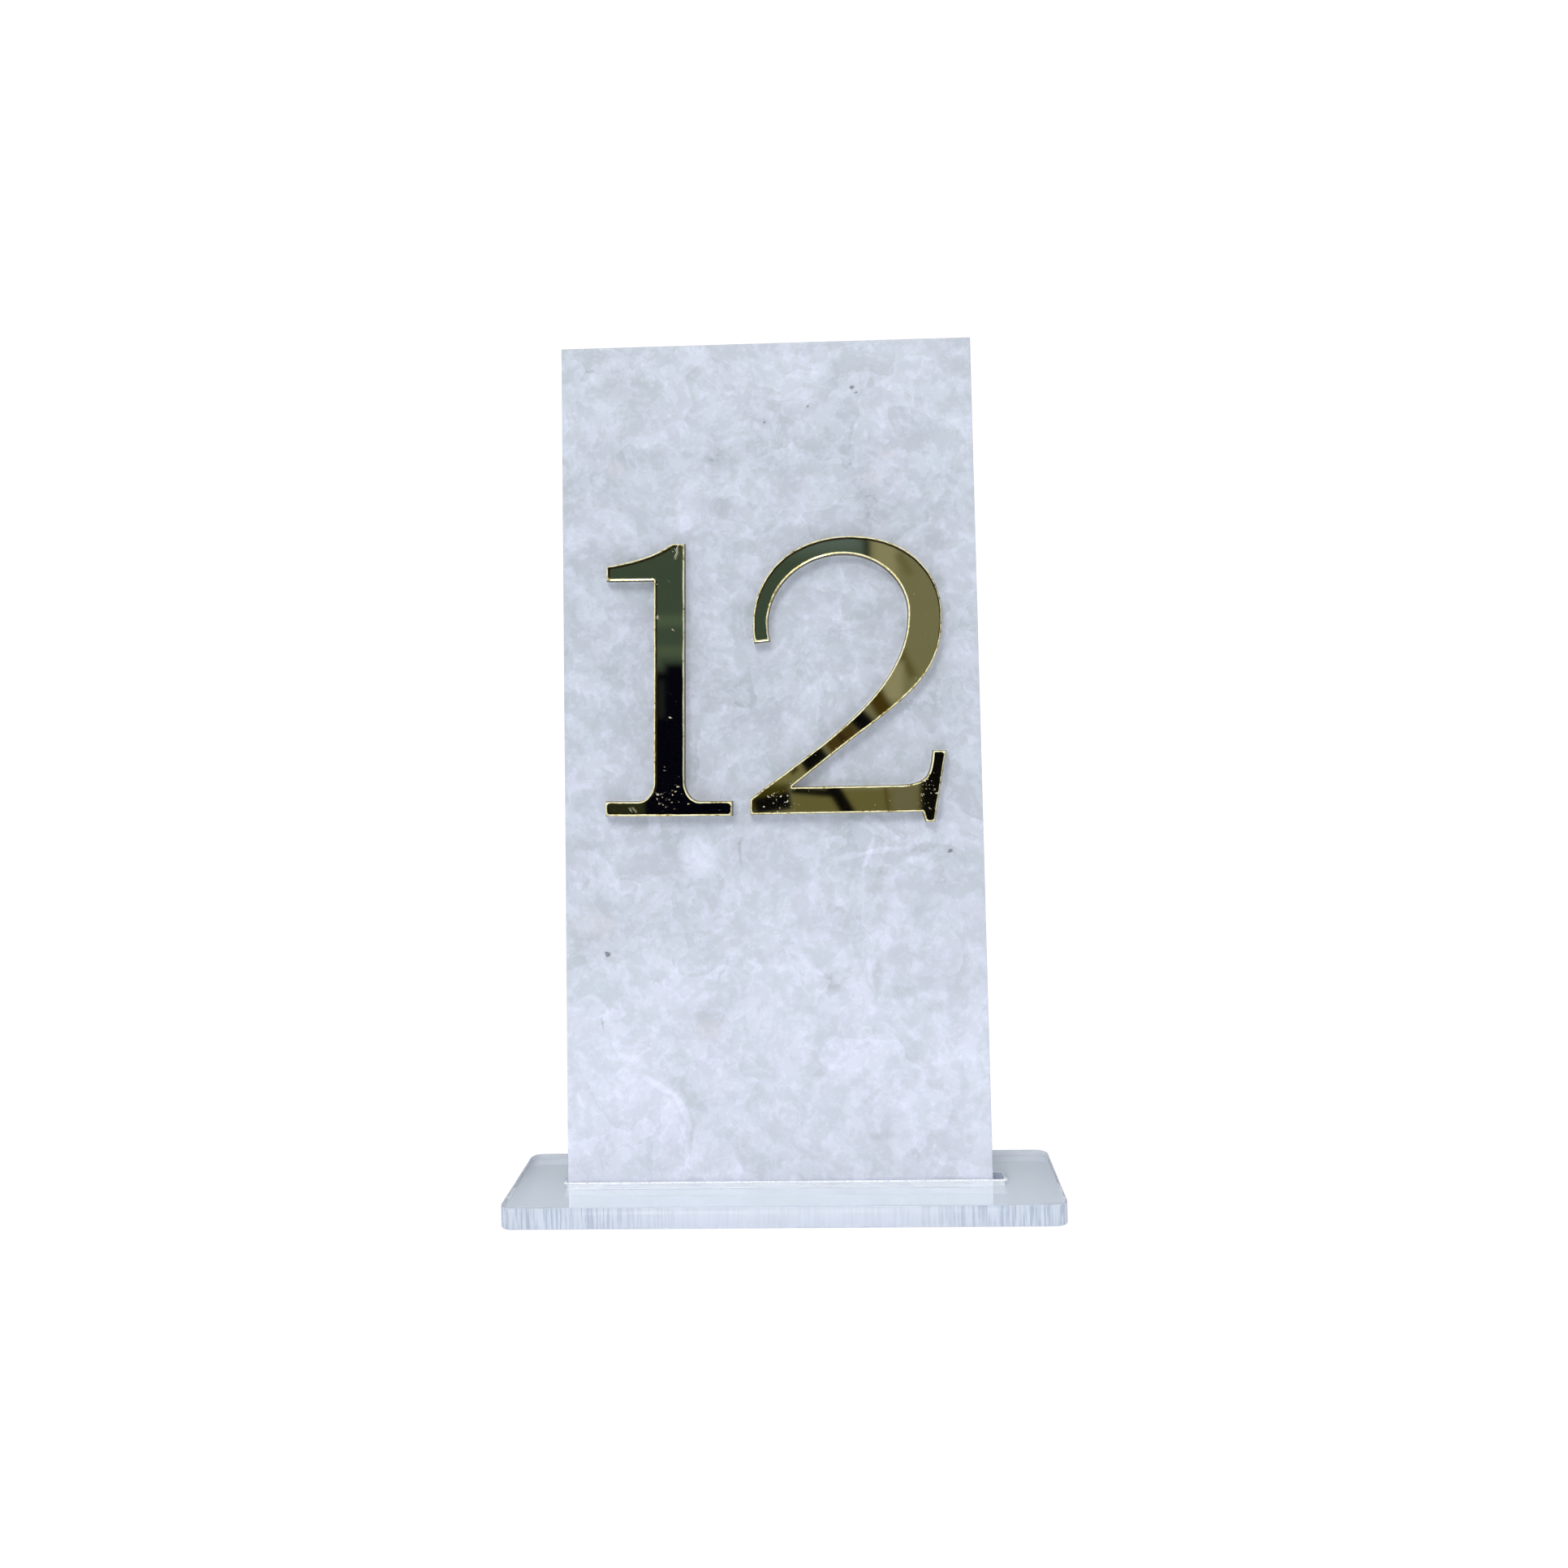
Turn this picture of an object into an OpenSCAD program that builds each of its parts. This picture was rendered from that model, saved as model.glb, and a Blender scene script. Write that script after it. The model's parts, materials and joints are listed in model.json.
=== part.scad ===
// Table number holder: a marble-effect plaque that stands in the slot of a clear
// base and carries two mirror numerals. Millimetres, +Z up, front facing -Y.
// The origin is the centre of the base's footprint, on the table.

/* [Plaque] */
// Width of the plaque
plaque_w = 100; // [80:1:150]
// Length of the plaque, from its bottom edge to its top edge
plaque_h = 205; // [180:1:300]
// Thickness of the plaque's sheet
plaque_t = 5; // [3:0.5:8]
// Angle that the plaque leans back in its slot
lean = 4; // [0:0.5:6]

/* [Base] */
// Width of the base
base_w = 128; // [120:1:200]
// Depth of the base, front to back
base_d = 37; // [36:1:80]
// Thickness of the base's sheet
base_t = 5; // [3:0.5:10]
// Radius of the base's four corners, seen from above
base_corner_r = 3; // [1:0.5:8]

/* [Slot] */
// How much longer the slot is than the plaque is wide
slot_play = 2.6; // [0.4:0.2:4]
// Gap left where the plaque touches the slot's walls
contact_gap = 0.08; // [0.05:0.01:0.3]

/* [Numerals] */
// Thickness of the numerals' gold-tinted acrylic
acrylic_t = 2.6; // [2:0.1:5]
// Thickness of the mirror coat and its backing paint
mirror_t = 0.2; // [0.1:0.05:0.4]
// Thickness of the adhesive film
adhesive_t = 0.2; // [0.1:0.05:1]
// Height of the numerals' baseline above the plaque's bottom edge
baseline = 90.4; // [60:0.2:120]
// Left end of the numeral 1, from the plaque's middle
one_x = -39.9; // [-45:0.1:-35]
// Left end of the numeral 2, from the plaque's middle
two_x = -5.3; // [-8:0.1:0]
// Angle by which the numeral 1 was stuck on out of true
one_tilt = -0.8; // [-2:0.1:2]
// Straight pieces in each curve of a numeral
curve_steps = 14; // [6:1:24]

/* [Hidden] */

// The slot is just wide enough for the plaque to lean as far as it does.
slot_w = plaque_t * cos(lean) + base_t * tan(lean) + 2 * contact_gap;
slot_l = plaque_w + slot_play;
// The plaque is pushed to the slot's left end.
plaque_x = contact_gap - slot_play / 2;
// Lowest front edge of the plaque: its back edge rests on the table.
plaque_foot = [plaque_x, contact_gap - slot_w / 2, plaque_t * sin(lean)];
cut_past = 1;

// Numeral 1, from the left end of its foot, on the baseline
one_h = 65.4;
one_foot_w = 30.5;
one_foot_h = 3.6;
one_stem = [11.5, 19.1];
one_flare = [3.6, 4.6];
one_flag_under = 56.4;
one_flag_tip = 60.1;
one_flag_top_x = 15.9;

// Numeral 2, from its lower left corner, on the baseline
two_top = 66.3;
two_right = 46.7;
two_right_y = 46.8;
two_hair_top = 61.8;
two_inner_right = 38.5;
two_bar_h = 6.5;

// Points of a cubic curve from a to d, without a itself
function curve(a, b, c, d) = [
    for (i = [1 : curve_steps]) let (t = i / curve_steps, s = 1 - t)
        s * s * s * a + 3 * s * s * t * b + 3 * s * t * t * c + t * t * t * d
];

// Quarter of an ellipse round centre, from angle a0 to a1
function flare(centre, size, a0, a1) = [
    for (i = [0 : curve_steps]) let (a = a0 + (a1 - a0) * i / curve_steps)
        centre + [size[0] * cos(a), size[1] * sin(a)]
];

function one_outline() = concat(
    [[0, 0], [one_foot_w, 0], [one_foot_w, one_foot_h]],
    flare([one_stem[1] + one_flare[0], one_foot_h + one_flare[1]], one_flare, 270, 180),
    [[one_stem[1], one_h], [one_flag_top_x, one_h]],
    curve([one_flag_top_x, one_h], [12, 62.9], [7.5, 61.2], [0, one_flag_tip]),
    [[0, one_flag_under], [one_stem[0], one_flag_under]],
    flare([one_stem[0] - one_flare[0], one_foot_h + one_flare[1]], one_flare, 360, 270),
    [[0, one_foot_h]]
);

function two_outline() = concat(
    // Outside of the bowl, down the diagonal to the bar
    [[1.6, 40.9]],
    curve([1.6, 40.9], [-0.4, 55.2], [8.8, two_top], [24.5, two_top]),
    curve([24.5, two_top], [38.2, two_top], [two_right, 58], [two_right, two_right_y]),
    curve([two_right, two_right_y], [two_right, 32.4], [37.6, 27], [23.4, 16.6]),
    // Top of the bar, its serif and the bottom edge
    [[10.2, two_bar_h], [35, two_bar_h]],
    curve([35, two_bar_h], [43.1, two_bar_h], [42.8, 9.2], [43.6, 14.6]),
    [[46.9, 14.5], [43.8, -2.4], [41.5, -2.4], [40.8, 0], [0, 0], [0, 3.8], [12.2, 12.6]],
    // Inside of the bowl, back to the hairline's end
    curve([12.2, 12.6], [23.4, 20.8], [two_inner_right, 32], [two_inner_right, 47.6]),
    curve([two_inner_right, 47.6], [two_inner_right, 55], [31.8, two_hair_top], [23, two_hair_top]),
    curve([23, two_hair_top], [12.3, two_hair_top], [3, 52.7], [5.5, 41.3])
);

// Puts children on the plaque's front face: x across, y up the plaque, z outwards
module on_front_face() {
    translate(plaque_foot) rotate([90 - lean, 0, 0]) children();
}

// One layer of the numeral 1, from low to low + thick in front of the plaque
module one_layer(low, thick) {
    on_front_face()
        translate([one_x + one_foot_w / 2, baseline, low])
            rotate([0, 0, one_tilt])
                translate([-one_foot_w / 2, 0, 0])
                    linear_extrude(thick) polygon(one_outline());
}

// One layer of the numeral 2
module two_layer(low, thick) {
    on_front_face()
        translate([two_x, baseline, low])
            linear_extrude(thick) polygon(two_outline());
}

// Rectangle with round corners, centred on the origin
module round_rectangle(w, d, r) {
    square([w - 2 * r, d], center = true);
    square([w, d - 2 * r], center = true);
    for (x = [-1, 1], y = [-1, 1])
        translate([x * (w / 2 - r), y * (d / 2 - r)]) circle(r, $fn = 48);
}

module base_plate() {
    color([0.80, 0.85, 0.90, 0.45])
        difference() {
            linear_extrude(base_t) round_rectangle(base_w, base_d, base_corner_r);
            translate([-slot_l / 2, -slot_w / 2, -cut_past])
                cube([slot_l, slot_w, base_t + 2 * cut_past]);
        }
}

module plaque() {
    color([0.81, 0.84, 0.90])
        on_front_face()
            translate([-plaque_w / 2, 0, -plaque_t])
                cube([plaque_w, plaque_h, plaque_t]);
}

module numeral_1_acrylic() {
    color([0.72, 0.60, 0.25]) one_layer(adhesive_t + mirror_t, acrylic_t);
}

module numeral_1_mirror_coat() {
    color([0.85, 0.80, 0.62]) one_layer(adhesive_t, mirror_t);
}

module numeral_1_adhesive() {
    color([0.93, 0.93, 0.90]) one_layer(0, adhesive_t);
}

module numeral_2_acrylic() {
    color([0.72, 0.60, 0.25]) two_layer(adhesive_t + mirror_t, acrylic_t);
}

module numeral_2_mirror_coat() {
    color([0.85, 0.80, 0.62]) two_layer(adhesive_t, mirror_t);
}

module numeral_2_adhesive() {
    color([0.93, 0.93, 0.90]) two_layer(0, adhesive_t);
}

base_plate();
plaque();
numeral_1_acrylic();
numeral_1_mirror_coat();
numeral_1_adhesive();
numeral_2_acrylic();
numeral_2_mirror_coat();
numeral_2_adhesive();
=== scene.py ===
"""Looks of the table number holder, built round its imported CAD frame.

The four laser-cut sheets are rebuilt from the CAD outlines with the edges that a laser leaves.
The mirror coats and adhesive films stay as the CAD made them. Lengths on the object and the
room card are in millimetres and become metres where a mesh or the camera is made. Other lengths
of the stage, MERGE, the camera's clip and the bumps' distances are in metres.
"""

import json
import math

import bmesh
import bpy
import numpy as np
from mathutils import Matrix, Vector
from mathutils.geometry import tessellate_polygon


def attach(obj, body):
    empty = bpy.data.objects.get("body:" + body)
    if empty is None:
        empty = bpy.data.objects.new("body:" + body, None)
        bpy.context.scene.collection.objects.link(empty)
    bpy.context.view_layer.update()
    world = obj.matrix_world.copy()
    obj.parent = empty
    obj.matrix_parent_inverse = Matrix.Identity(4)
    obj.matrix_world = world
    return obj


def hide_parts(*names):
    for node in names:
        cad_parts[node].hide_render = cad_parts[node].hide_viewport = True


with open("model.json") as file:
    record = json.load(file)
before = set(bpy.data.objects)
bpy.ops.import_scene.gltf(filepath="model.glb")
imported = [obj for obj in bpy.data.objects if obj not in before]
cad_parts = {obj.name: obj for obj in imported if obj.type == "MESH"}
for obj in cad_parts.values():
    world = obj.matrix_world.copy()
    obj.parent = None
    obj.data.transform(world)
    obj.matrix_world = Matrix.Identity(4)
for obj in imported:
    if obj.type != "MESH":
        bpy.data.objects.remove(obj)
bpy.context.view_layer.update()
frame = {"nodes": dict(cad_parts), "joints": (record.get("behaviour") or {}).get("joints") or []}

MM = 0.001
MERGE = 2e-6
ACRYLIC_IOR = 1.49
ADHESIVE_IOR = 1.47

# Axes of a sheet: across it, up it and out of its front face
LIFT = next(joint for joint in frame["joints"] if joint["name"] == "plaque_lift")
UP = Vector(LIFT["axis"]).normalized()
OUT = Vector((0, -UP.z, UP.y))
ACROSS = Vector((1, 0, 0))
PLAQUE_AXES = (ACROSS, UP, OUT)
BASE_AXES = (ACROSS, Vector((0, 1, 0)), Vector((0, 0, 1)))


# ---------------------------------------------------------------- camera

CAMERA_PLACE = Vector((16.84, -345.56, 125.59))
CAMERA_YAW = math.radians(-2.202)
CAMERA_PITCH = math.radians(-0.07)
CAMERA_ROLL = math.radians(-1.221)
LENS = 33.61
SHIFT = (-0.0033, -0.0734)


def make_camera():
    """The camera at the photograph's viewing angle."""
    ahead = Vector((
        math.sin(CAMERA_YAW) * math.cos(CAMERA_PITCH),
        math.cos(CAMERA_YAW) * math.cos(CAMERA_PITCH),
        math.sin(CAMERA_PITCH),
    ))
    level_right = Vector((math.cos(CAMERA_YAW), -math.sin(CAMERA_YAW), 0))
    level_up = level_right.cross(ahead)
    right = level_right * math.cos(CAMERA_ROLL) + level_up * math.sin(CAMERA_ROLL)
    up = level_up * math.cos(CAMERA_ROLL) - level_right * math.sin(CAMERA_ROLL)
    camera = bpy.data.objects.new("camera", bpy.data.cameras.new("camera"))
    camera.data.lens = LENS
    camera.data.shift_x, camera.data.shift_y = SHIFT
    camera.data.clip_start = 0.01
    turn = Matrix((right, up, -ahead)).transposed()
    camera.matrix_world = Matrix.Translation(CAMERA_PLACE * MM) @ turn.to_4x4()
    bpy.context.scene.collection.objects.link(camera)
    bpy.context.scene.camera = camera


# ---------------------------------------------------------------- cut sheets

CORNER = math.radians(25)
FAN_STEP = math.radians(15)
RAGGED_WIDTHS = (0.5, 1.2, 3.0)


def sheet_outlines(node, axes):
    """A sheet's outlines, material on their left, and the heights of its back and front faces.

    Each outline starts at its lowest corner, so that it is the same on every run.
    """
    across, up, out = axes

    def place(vert):
        return vert.co.dot(across) / MM, vert.co.dot(up) / MM

    def height_first(vert):
        x, y = place(vert)
        return round(y, 3), round(x, 3)

    mesh = bmesh.new()
    mesh.from_mesh(frame["nodes"][node].data)
    bmesh.ops.remove_doubles(mesh, verts=mesh.verts, dist=MERGE)
    heights = [vert.co.dot(out) / MM for vert in mesh.verts]
    front = {face for face in mesh.faces if face.normal.dot(out) > 0.999}
    follows = {}
    for face in front:
        for corner in face.loops:
            if sum(other in front for other in corner.edge.link_faces) == 1:
                follows[corner.vert] = corner.link_loop_next.vert
    outlines = []
    while follows:
        vert = min(follows, key=height_first)
        outline = []
        while vert in follows:
            outline.append(place(vert))
            vert = follows.pop(vert)
        outlines.append(np.array(outline))
    mesh.free()
    return outlines, min(heights), max(heights)


def sheet_place(node):
    """The middle and the foot of a sheet in the plaque's axes, and the height of its front."""
    outlines, _, front = sheet_outlines(node, PLAQUE_AXES)
    middle = (outlines[0][:, 0].min() + outlines[0][:, 0].max()) / 2
    return middle, outlines[0][:, 1].min(), front


def is_outer(outline):
    """Whether an outline runs anticlockwise, as one with the material inside it does."""
    x, y = outline[:, 0], outline[:, 1]
    return float(x @ np.roll(y, -1) - y @ np.roll(x, -1)) > 0


def left_of(direction):
    """The direction a quarter turn to the left."""
    return np.array((-direction[1], direction[0]))


def turned(direction, angle):
    """A direction turned to the left by an angle."""
    c, s = math.cos(angle), math.sin(angle)
    return np.array((c * direction[0] - s * direction[1], s * direction[0] + c * direction[1]))


def stations(outline, inset, fillet):
    """For each corner of an outline: the matching points on it and on the inset line.

    Each station is (point, inset point, direction coming in, direction going out, way in).
    A sharp corner has several, because its inset line is rounded.
    """
    after = np.roll(outline, -1, axis=0) - outline
    lengths = np.linalg.norm(after, axis=1)
    directions = after / lengths[:, None]
    found = []
    for i, point in enumerate(outline):
        before, ahead = directions[i - 1], directions[i]
        short = min(lengths[i - 1], lengths[i])
        cross = before[0] * ahead[1] - before[1] * ahead[0]
        turn = math.atan2(cross, float(before @ ahead))
        way_in = left_of(before) + left_of(ahead)
        way_in = way_in / np.linalg.norm(way_in)
        if abs(turn) < CORNER:
            along = before * lengths[i - 1] + ahead * lengths[i]
            along = along / np.linalg.norm(along)
            inner = point + way_in * inset / math.cos(turn / 2)
            found.append([(point, inner, along, along, left_of(along))])
            continue
        radius = -inset
        if turn > 0:
            room = 0.42 * short / math.tan(turn / 2) - inset
            radius = max(0.0, min(fillet, room))
        centre = point + way_in * (inset + radius) / math.cos(turn / 2)
        steps = max(2, round(abs(turn) / FAN_STEP))
        fan = []
        for k in range(steps + 1):
            normal = turned(left_of(before), turn * k / steps)
            fan.append((point, centre - radius * normal, before, ahead, normal))
        found.append(fan)
    return found


def curve_point(a, b, way_a, way_b, t):
    """A point on the smooth curve from a to b that leaves along way_a and arrives along way_b."""
    span = np.linalg.norm(b - a)
    return (
        a * (1 + t * t * (2 * t - 3))
        + b * t * t * (3 - 2 * t)
        + way_a * span * t * (1 - t) ** 2
        + way_b * span * t * t * (t - 1)
    )


def cut_lines(outline, inset, fillet, step):
    """Matching points every step along an outline and its inset line, the way in at each, and
    the distance along."""
    corners = stations(outline, inset, fillet)
    outer, inner, ways = [], [], []
    for here, there in zip(corners, corners[1:] + corners[:1]):
        for point, inset_point, _, _, normal in here:
            outer.append(point)
            inner.append(inset_point)
            ways.append(normal)
        a, b = here[-1], there[0]
        count = max(1, math.ceil(np.linalg.norm(b[0] - a[0]) / step))
        for k in range(1, count):
            t = k / count
            outer.append(curve_point(a[0], b[0], a[3], b[2], t))
            inner.append(curve_point(a[1], b[1], a[3], b[2], t))
            way = a[4] * (1 - t) + b[4] * t
            if len(here) > 1 or len(there) > 1:
                way = left_of((b[0] - a[0]) / np.linalg.norm(b[0] - a[0]))
            ways.append(way / np.linalg.norm(way))
    outer = np.array(outer)
    gaps = np.linalg.norm(np.roll(outer, -1, axis=0) - outer, axis=1)
    along = np.concatenate(([0.0], np.cumsum(gaps)))
    return outer, np.array(inner), np.array(ways), along


def laser_marks(length, seed, widths):
    """Depth of the laser's marks, from 0 to 1, along a closed cut of that length, as a function
    of the distance along."""
    step = 0.1
    count = max(16, int(length / step))
    draw = np.random.default_rng(seed)
    marks = np.zeros(count)
    for width in widths:
        reach = np.fft.rfftfreq(count, step) * width
        rough = np.fft.irfft(np.fft.rfft(draw.random(count)) * np.exp(-((2 * reach) ** 2)), count)
        marks += (rough - rough.min()) / np.ptp(rough) / len(widths)
    places = np.arange(count + 1) * length / count
    return lambda along: np.interp(along % length, places, np.append(marks, marks[0]))


def cut_sheet(
    name, node, axes, profile, step, mark_depth, mark_widths, seed,
    fillet=0.0, lag=0.0, ragged=0.0, hole_profile=None,
):
    """A laser-cut sheet in a CAD node's place.

    profile lists the edge's rings as (inset from the outline, depth below the front face), from
    the front face to the back one, and the material of the strip that follows. The laser's marks,
    up to mark_depth deep, fade at both faces. lag is how far the marks trail behind at the bottom
    of the cut, and ragged how far the inset line wanders. Holes may have a profile of their own.
    """
    across, up, out = axes
    outlines, low, high = sheet_outlines(node, axes)
    thickness = high - low
    mesh = bmesh.new()
    face_rings = [[], []]
    for number, outline in enumerate(outlines):
        rings_here = profile if hole_profile is None or is_outer(outline) else hole_profile
        widest = max(ring[0] for ring in rings_here)
        outer, inner, ways, along = cut_lines(outline, widest, fillet, step)
        marks = laser_marks(along[-1], seed + number, mark_widths)
        wander = laser_marks(along[-1], seed + number + 50, RAGGED_WIDTHS)
        inner = inner + ways * (ragged * (wander(along[:-1]) - 0.5))[:, None]
        rings = []
        for inset, depth, _ in rings_here:
            line = outer + (inner - outer) * inset / widest
            if 0 < depth < thickness:
                deep = depth / thickness
                line = line + ways * (marks(along[:-1] + lag * deep**2) * mark_depth)[:, None]
            places = [across * x + up * y + out * (high - depth) for x, y in line]
            rings.append([mesh.verts.new(place * MM) for place in places])
        for upper, lower, ring in zip(rings, rings[1:], rings_here):
            for k in range(len(upper)):
                quad = (upper[k - 1], lower[k - 1], lower[k], upper[k])
                mesh.faces.new(quad).material_index = ring[2]
        face_rings[0].append(rings[0])
        face_rings[1].append(rings[-1])
    for loops in face_rings:
        flat = [vert for loop in loops for vert in loop]
        for triangle in tessellate_polygon([[vert.co for vert in loop] for loop in loops]):
            mesh.faces.new([flat[i] for i in triangle])
    bmesh.ops.remove_doubles(mesh, verts=mesh.verts, dist=MERGE / 4)
    bmesh.ops.dissolve_degenerate(mesh, dist=MERGE / 10, edges=mesh.edges)
    bmesh.ops.recalc_face_normals(mesh, faces=mesh.faces)
    if mesh.calc_volume(signed=True) < 0:
        bmesh.ops.reverse_faces(mesh, faces=mesh.faces)
    data = bpy.data.meshes.new(name)
    mesh.to_mesh(data)
    mesh.free()
    finish_shading(data)
    piece = bpy.data.objects.new(name, data)
    bpy.context.scene.collection.objects.link(piece)
    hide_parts(node)
    return piece


def finish_shading(data):
    """Smooth cut edges, flat faces, and a crisp line wherever they meet."""
    data.polygons.foreach_set("use_smooth", [True] * len(data.polygons))
    data.set_sharp_from_angle(angle=math.radians(35))
    sharp = data.attributes.get("sharp_edge") or data.attributes.new("sharp_edge", "BOOLEAN", "EDGE")
    kinds = {}
    for polygon in data.polygons:
        for key in polygon.edge_keys:
            kinds.setdefault(key, set()).add(polygon.material_index)
    for edge in data.edges:
        if len(kinds.get(edge.key, ())) > 1:
            sharp.data[edge.index].value = True


def edge_profile(thickness, chamfer, rows):
    """The rings of an edge with the same small chamfer at both faces, its material 2."""
    bend = 0.3 * chamfer
    rings = [(chamfer, 0.0, 2), (bend, bend, 2), (0.0, chamfer, 1)]
    for row in range(1, rows):
        rings.append((0.0, chamfer + (thickness - 2 * chamfer) * row / rows, 1))
    rings += [(0.0, thickness - chamfer, 2), (bend, thickness - bend, 2), (chamfer, thickness, 2)]
    return rings


# ---------------------------------------------------------------- material nodes


def shade(r, g, b):
    """A colour given as an 8-bit screen colour, as the linear values that a shader takes."""
    def linear(value):
        value = value / 255
        return value / 12.92 if value <= 0.04045 else ((value + 0.055) / 1.055) ** 2.4
    return (linear(r), linear(g), linear(b), 1.0)


class Nodes:
    """Short calls that add nodes to one material."""

    def __init__(self, name):
        self.material = bpy.data.materials.new(name)
        self.material.use_nodes = True
        self.tree = self.material.node_tree
        self.shader = self.tree.nodes["Principled BSDF"]

    def put(self, socket, value):
        """Links a socket to another, or sets its value."""
        if isinstance(value, bpy.types.NodeSocket):
            self.tree.links.new(value, socket)
        else:
            socket.default_value = value

    def add(self, kind, inputs=(), **settings):
        """A node of that kind. inputs pairs socket names or numbers with values or sockets."""
        made = self.tree.nodes.new(kind)
        for key, value in settings.items():
            setattr(made, key, value)
        for key, value in dict(inputs).items():
            self.put(made.inputs[key], value)
        return made

    def surface(self, **values):
        """Sets the shader's sockets, with spaces as underscores."""
        for key, value in values.items():
            self.put(self.shader.inputs[key.replace("_", " ")], value)

    def math(self, operation, a, b=0.0, clamp=False):
        pairs = {0: a, 1: b}
        return self.add("ShaderNodeMath", pairs, operation=operation, use_clamp=clamp).outputs[0]

    def vector(self, operation, a, b=(0, 0, 0), factor=None):
        pairs = {0: a, 1: b}
        if factor is not None:
            pairs[3] = factor
        made = self.add("ShaderNodeVectorMath", pairs, operation=operation)
        return made.outputs["Value" if operation in ("LENGTH", "DOT_PRODUCT") else "Vector"]

    def steps(self, value, low, high, to_low=0.0, to_high=1.0):
        """value mapped smoothly from low..high to to_low..to_high."""
        pairs = {0: value, 1: low, 2: high, 3: to_low, 4: to_high}
        made = self.add("ShaderNodeMapRange", pairs, interpolation_type="SMOOTHSTEP")
        return made.outputs[0]

    def noise(self, where, size, detail=2.0, roughness=0.5, output="Fac"):
        """Noise whose features are about size across."""
        pairs = {"Vector": where, "Scale": 1 / size, "Detail": detail, "Roughness": roughness}
        return self.add("ShaderNodeTexNoise", pairs).outputs[output]

    def mix(self, share, a, b, blend="MIX"):
        """Colours a and b mixed."""
        made = self.add("ShaderNodeMix", data_type="RGBA", blend_type=blend)
        self.put(made.inputs[0], share)
        self.put(made.inputs[6], a)
        self.put(made.inputs[7], b)
        return made.outputs[2]

    def ramp(self, value, stops):
        """A colour ramp through (place, colour) stops."""
        made = self.add("ShaderNodeValToRGB", {0: value})
        elements = made.color_ramp.elements
        while len(elements) < len(stops):
            elements.new(0.5)
        for element, (place, colour) in zip(elements, stops):
            element.position = place
            element.color = colour
        return made.outputs[0]

    def warp(self, where, by, size, detail=3.0):
        """where, pushed about by up to by by noise of that size."""
        colour = self.noise(where, size, detail, output="Color")
        push = self.vector("SUBTRACT", colour, (0.5, 0.5, 0.5))
        push = self.vector("SCALE", push, factor=2 * by)
        return self.vector("ADD", where, push)

    def blob(self, where, centre, size, angle=0.0, edge=0.4):
        """1 inside an ellipse round centre, 0 outside it, softened over the share edge."""
        turn = (0, 0, math.radians(angle))
        pairs = {
            "Vector": where, "Location": (*centre, 0), "Rotation": turn, "Scale": (*size, 1e6)
        }
        local = self.add("ShaderNodeMapping", pairs, vector_type="TEXTURE").outputs[0]
        reach = self.vector("LENGTH", local)
        return self.steps(reach, 1.0 + edge, 1.0 - edge)

    def stroke(self, where, start, end, width):
        """1 on the line from start to end, 0 off it."""
        a, b = Vector(start), Vector(end)
        centre, span = (a + b) / 2, b - a
        angle = math.degrees(math.atan2(span.y, span.x))
        return self.blob(where, centre, (span.length / 2, width / 2), angle, 0.35)


def plaque_place(nodes):
    """Coordinates in millimetres on the plaque: across from its middle, up from its foot, and
    out of its front face."""
    middle, foot, front = sheet_place("plaque")
    lean = math.atan2(UP.y, UP.z)
    pairs = {
        "Vector": nodes.add("ShaderNodeTexCoord").outputs["Object"],
        "Location": (-middle, -foot, -front),
        "Rotation": (lean - math.pi / 2, 0, 0),
        "Scale": (1 / MM, 1 / MM, 1 / MM),
    }
    return nodes.add("ShaderNodeMapping", pairs).outputs[0]


def metric_place(nodes):
    """Object coordinates in millimetres."""
    place = nodes.add("ShaderNodeTexCoord").outputs["Object"]
    return nodes.vector("SCALE", place, factor=1 / MM)


# ---------------------------------------------------------------- materials


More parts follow.
